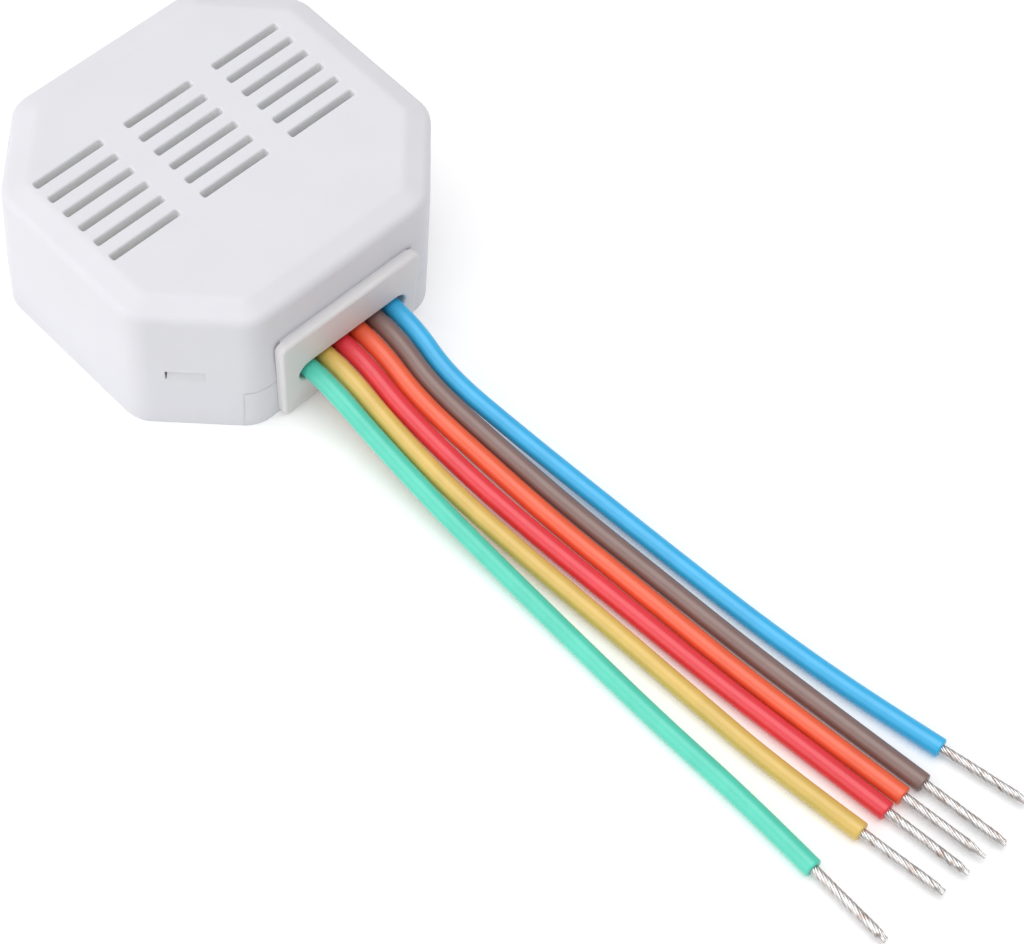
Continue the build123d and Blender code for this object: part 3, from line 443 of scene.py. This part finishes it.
# %% [markdown]
# ## The insulation's plastic
# Insulation is pressed through a ring round the wire, which leaves faint marks along it and a satin
# gloss. The marks follow the UV map, because it runs with the lead through its bends. One group draws
# them for all six colours.

# %% Dress the insulation
STREAK_SCALE = (0.12, 26.0, 1.0)
MOTTLE_SCALE = 260.0
SPECK_SCALE = 5200.0
SHEATH_ROUGHNESS = 0.34
SHEATH_GLOSS = 0.75
SHEATH_SPREAD = 0.05
SHEATH_COLOURS = {
    "green": (0.085, 0.66, 0.49),
    "yellow": (0.76, 0.51, 0.12),
    "red": (0.83, 0.035, 0.055),
    "orange": (0.92, 0.125, 0.045),
    "brown": (0.245, 0.150, 0.132),
    "blue": (0.035, 0.47, 0.85),
}


def sheath_group():
    """Extruded plastic: faint lengthwise lines and a slight unevenness of tone."""
    tree, given, out = new_group(
        "extruded_sheath", "ShaderNodeTree",
        [("Line Depth", "NodeSocketFloat", 0.05)],
        [("Normal", "NodeSocketVector"), ("Tone", "NodeSocketFloat")])
    place = add(tree, "ShaderNodeTexCoord").outputs
    stretch = add(tree, "ShaderNodeMapping", {"Vector": place["UV"], "Scale": STREAK_SCALE})
    streaks = add(tree, "ShaderNodeTexNoise",
                  {"Vector": stretch.outputs["Vector"], "Scale": 1.0, "Detail": 2.0})
    mottle = add(tree, "ShaderNodeTexNoise",
                 {"Vector": place["Object"], "Scale": MOTTLE_SCALE, "Detail": 3.0})
    specks = add(tree, "ShaderNodeTexNoise",
                 {"Vector": place["Object"], "Scale": SPECK_SCALE, "Detail": 1.0})
    lines_bump = add(tree, "ShaderNodeBump", {"Height": streaks.outputs["Fac"], "Distance": 0.00004,
                                              "Strength": given.outputs["Line Depth"]})
    fine_bump = add(tree, "ShaderNodeBump",
                    {"Height": specks.outputs["Fac"], "Distance": 0.00002, "Strength": 0.06,
                     "Normal": lines_bump.outputs["Normal"]})
    tree.links.new(fine_bump.outputs["Normal"], out.inputs["Normal"])
    tree.links.new(mottle.outputs["Fac"], out.inputs["Tone"])
    return tree


SHEATH = sheath_group()


def sheath_material(colour):
    """The satin plastic of one lead."""
    tone = SHEATH_COLOURS[colour]
    material, tree, shader = new_material("sheath_" + colour, SHEATH_ROUGHNESS,
                                          Specular_IOR_Level=SHEATH_GLOSS)
    sheath = add(tree, "ShaderNodeGroup", node_tree=SHEATH)
    tint = toned(tree, sheath.outputs["Tone"], shade(tone, 1 - SHEATH_SPREAD), shade(tone, 1 + SHEATH_SPREAD))
    finish_surface(tree, shader, tint, sheath.outputs["Normal"])
    return material


for colour, piece in sheaths.items():
    material = sheath_material(colour)
    piece.data.materials.append(material)
    dress(material, "inner_lead_" + colour)
print("insulation colours:", ", ".join(SHEATH_COLOURS))

# %% [markdown]
# ## The twisted strands
# A stripped end is a rope of fine wires, twisted and tinned. Modelling each wire by hand would be slow and
# hard to change, so Geometry Nodes makes the rope from a few numbers. A straight line is copied once for
# each strand, every point of a copy is moved round the axis by an angle that grows with its height, and
# the ring of strands narrows towards its tip. Small chances per strand keep the rope from looking turned
# on a lathe.

# %% Wind one ring of strands
STRAND_STEPS = 44
STRAND_SIDES = 10
TURN_CHANCE = 0.012
HEIGHT_CHANCE = 0.02
RADIUS_CHANCE = 0.05
THINNING = 0.6


def strand_group():
    """One ring of strands that wind round the Z axis and close in towards the tip."""
    tree, given, out = new_group(
        "strand_ring", "GeometryNodeTree",
        [("Length", "NodeSocketFloat", 0.0125), ("Ring Radius", "NodeSocketFloat", 0.0005),
         ("Strand Radius", "NodeSocketFloat", 0.00014), ("Strands", "NodeSocketInt", 12),
         ("Turns", "NodeSocketFloat", 1.5), ("Tip Length", "NodeSocketFloat", 0.0016),
         ("Tip Share", "NodeSocketFloat", 0.45), ("Stub Share", "NodeSocketFloat", 0.45),
         ("Seed", "NodeSocketInt", 1)],
        [("Geometry", "NodeSocketGeometry")])
    value = given.outputs

    # One straight line for each strand, with the strand's number kept on its points.
    points = add(tree, "GeometryNodePoints", {"Count": value["Strands"]})
    number = add(tree, "GeometryNodeInputIndex")
    kept = add(tree, "GeometryNodeStoreNamedAttribute",
               {"Geometry": points.outputs[0], "Name": "strand", "Value": number.outputs[0]},
               data_type="FLOAT", domain="POINT")
    straight = add(tree, "GeometryNodeCurvePrimitiveLine", {"Start": (0, 0, 0), "End": (0, 0, 1)})
    fine = add(tree, "GeometryNodeResampleCurve", {"Curve": straight.outputs[0], "Count": STRAND_STEPS})
    copies = add(tree, "GeometryNodeInstanceOnPoints",
                 {"Points": kept.outputs[0], "Instance": fine.outputs[0]})
    real = add(tree, "GeometryNodeRealizeInstances", {"Geometry": copies.outputs[0]})

    # Where each point goes: an angle, a height and a radius.
    strand = add(tree, "GeometryNodeInputNamedAttribute", {"Name": "strand"}, data_type="FLOAT").outputs[0]
    factor = add(tree, "GeometryNodeSplineParameter").outputs["Factor"]
    chance = add(tree, "FunctionNodeRandomValue",
                 {"Min": -1.0, "Max": 1.0, "ID": strand, "Seed": value["Seed"]},
                 data_type="FLOAT").outputs["Value"]
    share = math_node(tree, "DIVIDE", strand, value["Strands"])
    turned = math_node(tree, "ADD", share, times(tree, value["Turns"], factor))
    uneven = math_node(tree, "ADD", turned, times(tree, chance, TURN_CHANCE))
    angle = times(tree, uneven, 2 * math.pi)
    missing = times(tree, math_node(tree, "ABSOLUTE", chance), HEIGHT_CHANCE)
    run = times(tree, value["Length"], factor)
    height = times(tree, run, math_node(tree, "SUBTRACT", 1.0, missing))
    to_tip = math_node(tree, "SUBTRACT", value["Length"], run)
    narrow = add(tree, "ShaderNodeMapRange",
                 {"Value": to_tip, "From Min": times(tree, value["Tip Length"], value["Stub Share"]),
                  "From Max": value["Tip Length"], "To Min": value["Tip Share"], "To Max": 1.0},
                 interpolation_type="SMOOTHSTEP").outputs[0]
    loose = math_node(tree, "ADD", 1.0, times(tree, chance, RADIUS_CHANCE))
    radius = times(tree, times(tree, value["Ring Radius"], narrow), loose)
    place = add(tree, "ShaderNodeCombineXYZ",
                {"X": times(tree, radius, math_node(tree, "COSINE", angle)),
                 "Y": times(tree, radius, math_node(tree, "SINE", angle)), "Z": height})
    wound = add(tree, "GeometryNodeSetPosition", {"Geometry": real.outputs[0], "Position": place.outputs[0]})

    # The strands themselves, thinner where the rope narrows.
    thin = math_node(tree, "POWER", narrow, THINNING)
    thick = add(tree, "GeometryNodeSetCurveRadius", {"Curve": wound.outputs[0], "Radius": thin})
    section = add(tree, "GeometryNodeCurvePrimitiveCircle",
                  {"Resolution": STRAND_SIDES, "Radius": value["Strand Radius"]})
    solid = add(tree, "GeometryNodeCurveToMesh",
                {"Curve": thick.outputs[0], "Profile Curve": section.outputs["Curve"], "Scale": thin,
                 "Fill Caps": True})
    smooth = add(tree, "GeometryNodeSetShadeSmooth", {"Geometry": solid.outputs[0]})
    tree.links.new(smooth.outputs[0], out.inputs["Geometry"])
    return tree


ring_tree = strand_group()
print("ring of strands:", len(ring_tree.nodes), "nodes")

# %% [markdown]
# ## The whole rope
# Tin fills the gaps between the strands. So the rope is three rings made by the same group: the strands
# that show, a few thin ones inside them, and one thick one on the axis that stands for the tin.

# %% Join the rings to a rope
INNER_PLACE = 0.5
INNER_THICKNESS = 0.3
INNER_COUNT = 6
CORE_THICKNESS = 0.93


def rope_group(ring):
    """A rope of an outer and an inner ring of strands and a core of tin."""
    tree, given, out = new_group(
        "tinned_rope", "GeometryNodeTree",
        [("Geometry", "NodeSocketGeometry", None), ("Length", "NodeSocketFloat", 0.0125),
         ("Rope Radius", "NodeSocketFloat", 0.00065), ("Strand Radius", "NodeSocketFloat", 0.00014),
         ("Strands", "NodeSocketInt", 12), ("Turns", "NodeSocketFloat", 1.5),
         ("Tip Length", "NodeSocketFloat", 0.0016), ("Tip Share", "NodeSocketFloat", 0.45),
         ("Stub Share", "NodeSocketFloat", 0.45), ("Seed", "NodeSocketInt", 1),
         ("Material", "NodeSocketMaterial", None)],
        [("Geometry", "NodeSocketGeometry")])
    value = given.outputs
    ring_radius = math_node(tree, "SUBTRACT", value["Rope Radius"], value["Strand Radius"])
    shared = {label: value[label] for label in ("Length", "Turns", "Tip Length", "Tip Share", "Stub Share",
                                                "Seed")}
    rings = [(ring_radius, value["Strand Radius"], value["Strands"]),
             (times(tree, ring_radius, INNER_PLACE), times(tree, ring_radius, INNER_THICKNESS), INNER_COUNT),
             (0.0, times(tree, ring_radius, CORE_THICKNESS), 1)]
    joined = tree.nodes.new("GeometryNodeJoinGeometry")
    for size, strand, count in rings:
        node = add(tree, "GeometryNodeGroup", node_tree=ring)
        for label, source in {**shared, "Ring Radius": size, "Strand Radius": strand,
                              "Strands": count}.items():
            if isinstance(source, bpy.types.NodeSocket):
                tree.links.new(source, node.inputs[label])
            else:
                node.inputs[label].default_value = source
        tree.links.new(node.outputs[0], joined.inputs[0])
    real = add(tree, "GeometryNodeRealizeInstances", {"Geometry": joined.outputs[0]})
    painted = add(tree, "GeometryNodeSetMaterial",
                  {"Geometry": real.outputs[0], "Material": value["Material"]})
    tree.links.new(painted.outputs[0], out.inputs["Geometry"])
    return tree


rope_tree = rope_group(ring_tree)
print("rope:", len(rope_tree.nodes), "nodes")

# %% [markdown]
# ## Tinned copper
# Tin is bright and slightly uneven, and the copper shows through as a warm tint where it is thin. Soft
# patches mix the two tones, and a fine ripple breaks up the reflections.

# %% Make the tin and a mesh of each rope
TIN_THIN = (0.53, 0.455, 0.42)
TIN_BRIGHT = (0.69, 0.675, 0.67)


def tinned_material():
    """Bright tin over copper: metal with a warm tint where the tin is thin."""
    material, tree, shader = new_material("tinned_copper", 0.3, Metallic=1.0)
    place = add(tree, "ShaderNodeTexCoord").outputs["Object"]
    patches = add(tree, "ShaderNodeTexNoise", {"Vector": place, "Scale": 900.0, "Detail": 3.0})
    tint = toned(tree, patches.outputs["Fac"], TIN_THIN, TIN_BRIGHT, 0.34, 0.5)
    ripple = add(tree, "ShaderNodeTexNoise", {"Vector": place, "Scale": 5000.0, "Detail": 2.0})
    bump = add(tree, "ShaderNodeBump",
               {"Height": ripple.outputs["Fac"], "Distance": 0.00003, "Strength": 0.25})
    finish_surface(tree, shader, tint, bump.outputs["Normal"])
    return material


def generated(name, group, values, place):
    """A plain mesh object of what a Geometry Nodes group makes, moved to its place."""
    maker = link(name + "_maker", bpy.data.meshes.new(name + "_maker"))
    modifier = maker.modifiers.new("nodes", "NODES")
    modifier.node_group = group
    for item in group.interface.items_tree:
        if item.item_type == "SOCKET" and item.in_out == "INPUT" and item.name in values:
            modifier[item.identifier] = values[item.name]
    mesh = evaluated_mesh(maker)
    mesh.name = name
    mesh.transform(place)
    bpy.data.objects.remove(maker)
    return link(name, mesh)


tinned = tinned_material()
dress(tinned, "inner_conductors")
print("tin:", tinned.name)

# %% [markdown]
# ## The stripped ends
# Each lead ends in its own rope, and no two tips are alike in the photograph: some are cut square, one is
# drawn to a point. So a tip has three numbers of its own: how long it is, how narrow it gets, and which
# share of it is an even stub. A cord is the lead with its rope, and its length is measured on the line.

STRIPPED_LENGTH = 12.5
CONDUCTOR_DIAMETER = 1.3
STRAND_COUNT = 9
STRAND_RADIUS = 0.19
FEWEST_TURNS = 1.55
TURN_STEP = 0.1
TURN_KINDS = 3
FIRST_SEED = 3
TIPS = {"green": (1.3, 0.66, 0.45), "yellow": (1.3, 0.68, 0.4), "red": (1.6, 0.56, 0.3),
        "orange": (2.6, 0.36, 0.0), "brown": (1.4, 0.72, 0.2), "blue": (1.5, 0.68, 0.3)}


def looking_along(direction):
    """The turn that takes +Z to a direction."""
    return direction.to_track_quat("Z", "Y").to_matrix().to_4x4()


for index, (colour, line) in enumerate(lines.items()):
    ahead = (routes[colour][-1] - routes[colour][-2]).normalized()
    place = Matrix.Translation(line[-1] - ahead * (HUB_DEPTH * MM)) @ looking_along(ahead)
    tip_length, tip_share, stub_share = TIPS[colour]
    rope = generated("strands_" + colour, rope_tree, {
        "Length": (STRIPPED_LENGTH + HUB_DEPTH) * MM, "Rope Radius": CONDUCTOR_DIAMETER / 2 * MM,
        "Strand Radius": STRAND_RADIUS * MM, "Strands": STRAND_COUNT,
        "Turns": FEWEST_TURNS + TURN_STEP * (index % TURN_KINDS), "Tip Length": tip_length * MM,
        "Tip Share": tip_share, "Stub Share": stub_share, "Seed": FIRST_SEED + index,
        "Material": tinned}, place)
    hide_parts("lead_" + colour)
    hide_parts("stripped_" + colour)
    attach(sheaths[colour], "module")
    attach(rope, "module")
print("strand faces each:", len(rope.data.polygons))

# %% [markdown]
# ## Materials of the parts inside
# They show when the cover lifts. A circuit board is solder mask over copper tracks: cells measured along
# straight lines and right angles stand for them, as the board only shows when the cover is off. Metals
# share a function, and so do wound wire and tape, which differ in the spacing of their ribs.

# %% Write the inner materials
def board_material():
    """Green solder mask over copper tracks that run in straight lines and right angles."""
    material, tree, shader = new_material("solder_mask", 0.3, Coat_Weight=0.3)
    place = add(tree, "ShaderNodeTexCoord").outputs["Object"]
    cells = add(tree, "ShaderNodeTexVoronoi", {"Vector": place, "Scale": 260.0, "Randomness": 0.85},
                distance="MANHATTAN", feature="F1")
    bands = math_node(tree, "PINGPONG", times(tree, cells.outputs["Distance"], 3.2), 0.5)
    tint = toned(tree, bands, (0.012, 0.09, 0.035), (0.03, 0.20, 0.075), 0.2, 0.27)
    bump = add(tree, "ShaderNodeBump", {"Height": bands, "Distance": 0.00003, "Strength": 0.3})
    finish_surface(tree, shader, tint, bump.outputs["Normal"])
    return material


def plated(name, colour, roughness, scale=2600.0):
    """A plated or soldered metal with a slight ripple."""
    material, tree, shader = new_material(name, roughness, Metallic=1.0)
    place = add(tree, "ShaderNodeTexCoord").outputs["Object"]
    ripple = add(tree, "ShaderNodeTexNoise", {"Vector": place, "Scale": scale, "Detail": 3.0})
    tint = toned(tree, ripple.outputs["Fac"], shade(colour, 0.86), shade(colour, 1.06))
    bump = add(tree, "ShaderNodeBump",
               {"Height": ripple.outputs["Fac"], "Distance": 0.00003, "Strength": 0.2})
    finish_surface(tree, shader, tint, bump.outputs["Normal"])
    return material


def ribbed(name, colour, roughness, spacing, **sockets):
    """Wound wire or tape: fine ribs, one above the other, with painted shade in the grooves between them."""
    material, tree, shader = new_material(name, roughness, **sockets)
    place = add(tree, "ShaderNodeTexCoord").outputs["Object"]
    wave = add(tree, "ShaderNodeTexWave", {"Vector": place, "Scale": 0.314 / spacing, "Distortion": 0.4,
                                           "Detail": 1.0}, bands_direction="Z")
    # painted shade: the colour darkens where the wave is low, in the grooves between the ribs
    tint = toned(tree, wave.outputs["Fac"], shade(colour, 0.7), shade(colour, 1.05), 0.1, 0.6)
    bump = add(tree, "ShaderNodeBump",
               {"Height": wave.outputs["Fac"], "Distance": 0.00006, "Strength": 0.5})
    finish_surface(tree, shader, tint, bump.outputs["Normal"])
    return material


print("inner materials:", ", ".join(maker.__name__ for maker in (board_material, plated, ribbed)))

# %% [markdown]
# ## The parts inside
# The rest is a table. A row holds a material's colour, its roughness, what else differs from a plain
# plastic or metal, and the parts that wear it: black mouldings, dark ferrite, a brass contact, a blue
# varistor, screws plated with zinc.

# %% Dress the parts inside
def relay_parts(*endings):
    """The names of the same pieces in both relays."""
    return [relay + "_" + ending for relay in ("relay_up", "relay_down") for ending in endings]


METALS = {
    "solder": ((0.78, 0.78, 0.79), 0.28, {}, ["solder_joints", "component_leads", "chip_leads"]),
    "zinc": ((0.72, 0.73, 0.76), 0.32, {}, ["clamp_screws", "board_screws"]),
    "tinned_sheet": ((0.76, 0.76, 0.77), 0.3, {"scale": 700.0}, ["radio_shield", "antenna"]),
    "soft_iron": ((0.56, 0.56, 0.57), 0.4, {}, relay_parts("yoke", "armature")),
    "contact_brass": ((0.80, 0.58, 0.27), 0.3, {}, relay_parts("contact")),
}
MOULDINGS = {
    "black_plastic": ((0.018, 0.018, 0.02), 0.5, {}, ["transformer_base", "radio_header"]),
    "chip_plastic": ((0.022, 0.022, 0.024), 0.42, {"grain_size": 0.00006, "grain_depth": 0.2},
                     ["bridge_rectifier", "power_controller", "driver_transistors", "flyback_diodes",
                      "radio_chip"]),
    "relay_shell": ((0.012, 0.03, 0.07), 0.38, {"grain_size": 0.0002, "grain_depth": 0.06},
                    relay_parts("case", "base")),
    "film_box": ((0.55, 0.36, 0.03), 0.35, {"grain_size": 0.0003, "grain_depth": 0.05},
                 ["film_capacitor"]),
    "fuse_shell": ((0.03, 0.03, 0.03), 0.35, {}, ["fuse"]),
    "varistor_coat": ((0.02, 0.08, 0.36), 0.28, {"grain_size": 0.0008, "grain_depth": 0.25}, ["varistor"]),
    "chip_ceramic": ((0.14, 0.09, 0.06), 0.5, {}, ["chip_parts"]),
    "ferrite": ((0.035, 0.035, 0.038), 0.6,
                {"grain_size": 0.00015, "grain_depth": 0.5, "edge": 0.0003, "spread": 0.2},
                ["transformer_core"]),
    "capacitor_sleeve": ((0.02, 0.025, 0.04), 0.25, {"grain_size": 0.0004, "grain_depth": 0.04},
                         ["input_capacitor", "output_capacitor"]),
}
WINDINGS = {
    "winding_tape": ((0.62, 0.42, 0.03), 0.3, {"spacing": 0.0016}, ["transformer_winding"]),
    "relay_winding": ((0.55, 0.2, 0.07), 0.35, {"spacing": 0.0003, "Metallic": 0.6}, relay_parts("coil")),
}

dress(board_material(), "circuit_board", "radio_board")
for maker, table in ((plated, METALS), (moulded, MOULDINGS), (ribbed, WINDINGS)):
    for name, (colour, roughness, rest, parts) in table.items():
        dress(maker(name, colour, roughness, **rest), *parts)
print("materials made:", len(bpy.data.materials))

# %% [markdown]
# ## The floor and the surround
# The photograph has a pure white ground with hardly a shadow, as on a light table. A pale floor that
# glows a little and a pale surround give that, and light the module softly from all sides. The floor
# lies a hair below the module, so that the two don't share a plane.

# %% Lay the floor
FLOOR_DROP = 0.02
FLOOR_SIZE = 4.0
FLOOR_WHITE = (0.95, 0.95, 0.955)
FLOOR_GLOW = 0.14
SURROUND = 0.38
WHITE = (1.0, 1.0, 1.0, 1.0)

reach = FLOOR_SIZE / 2
corners = [(x, y, -FLOOR_DROP * MM) for x, y in ((-reach, -reach), (reach, -reach), (reach, reach),
                                                 (-reach, reach))]
floor_mesh = bpy.data.meshes.new("floor")
floor_mesh.from_pydata(corners, [], [(0, 1, 2, 3)])
floor = link("floor", floor_mesh)
floor.data.materials.append(moulded("floor_paper", FLOOR_WHITE, 0.9, grain_size=0.0006, grain_depth=0.02,
                                    edge=0.0, spread=0.004, Emission_Color=WHITE,
                                    Emission_Strength=FLOOR_GLOW))

world = bpy.data.worlds.new("surround")
scene.world = world
world.use_nodes = True
world.node_tree.nodes["Background"].inputs["Color"].default_value = WHITE
world.node_tree.nodes["Background"].inputs["Strength"].default_value = SURROUND
print("floor, m:", FLOOR_SIZE, "x", FLOOR_SIZE)

# %% [markdown]
# ## The lights
# One large softbox stands low to the left and a little behind, so the left wall is the brightest face. A
# second one overhead lights the roof. The wall with the outlet faces neither and stays the darkest.

# %% Light the scene
KEY_DIRECTION = Vector((-0.845, 0.349, 0.402))
KEY_POWER = 6.4
TOP_DIRECTION = Vector((0.0, 0.0, 1.0))
TOP_POWER = 10.2
BOX_DISTANCE = 1.2
BOX_SIZE = 1.2
BOX_TARGET = Vector((0.0, -0.03, 0.01))


def softbox(name, direction, power):
    """A square area light that looks at the module from a direction."""
    light = bpy.data.lights.new(name, "AREA")
    light.shape = "SQUARE"
    light.size = BOX_SIZE
    light.energy = power
    aim = direction.normalized()
    link(name, light).matrix_world = (Matrix.Translation(BOX_TARGET + aim * BOX_DISTANCE)
                                      @ looking_along(aim))


softbox("key", KEY_DIRECTION, KEY_POWER)
softbox("overhead", TOP_DIRECTION, TOP_POWER)
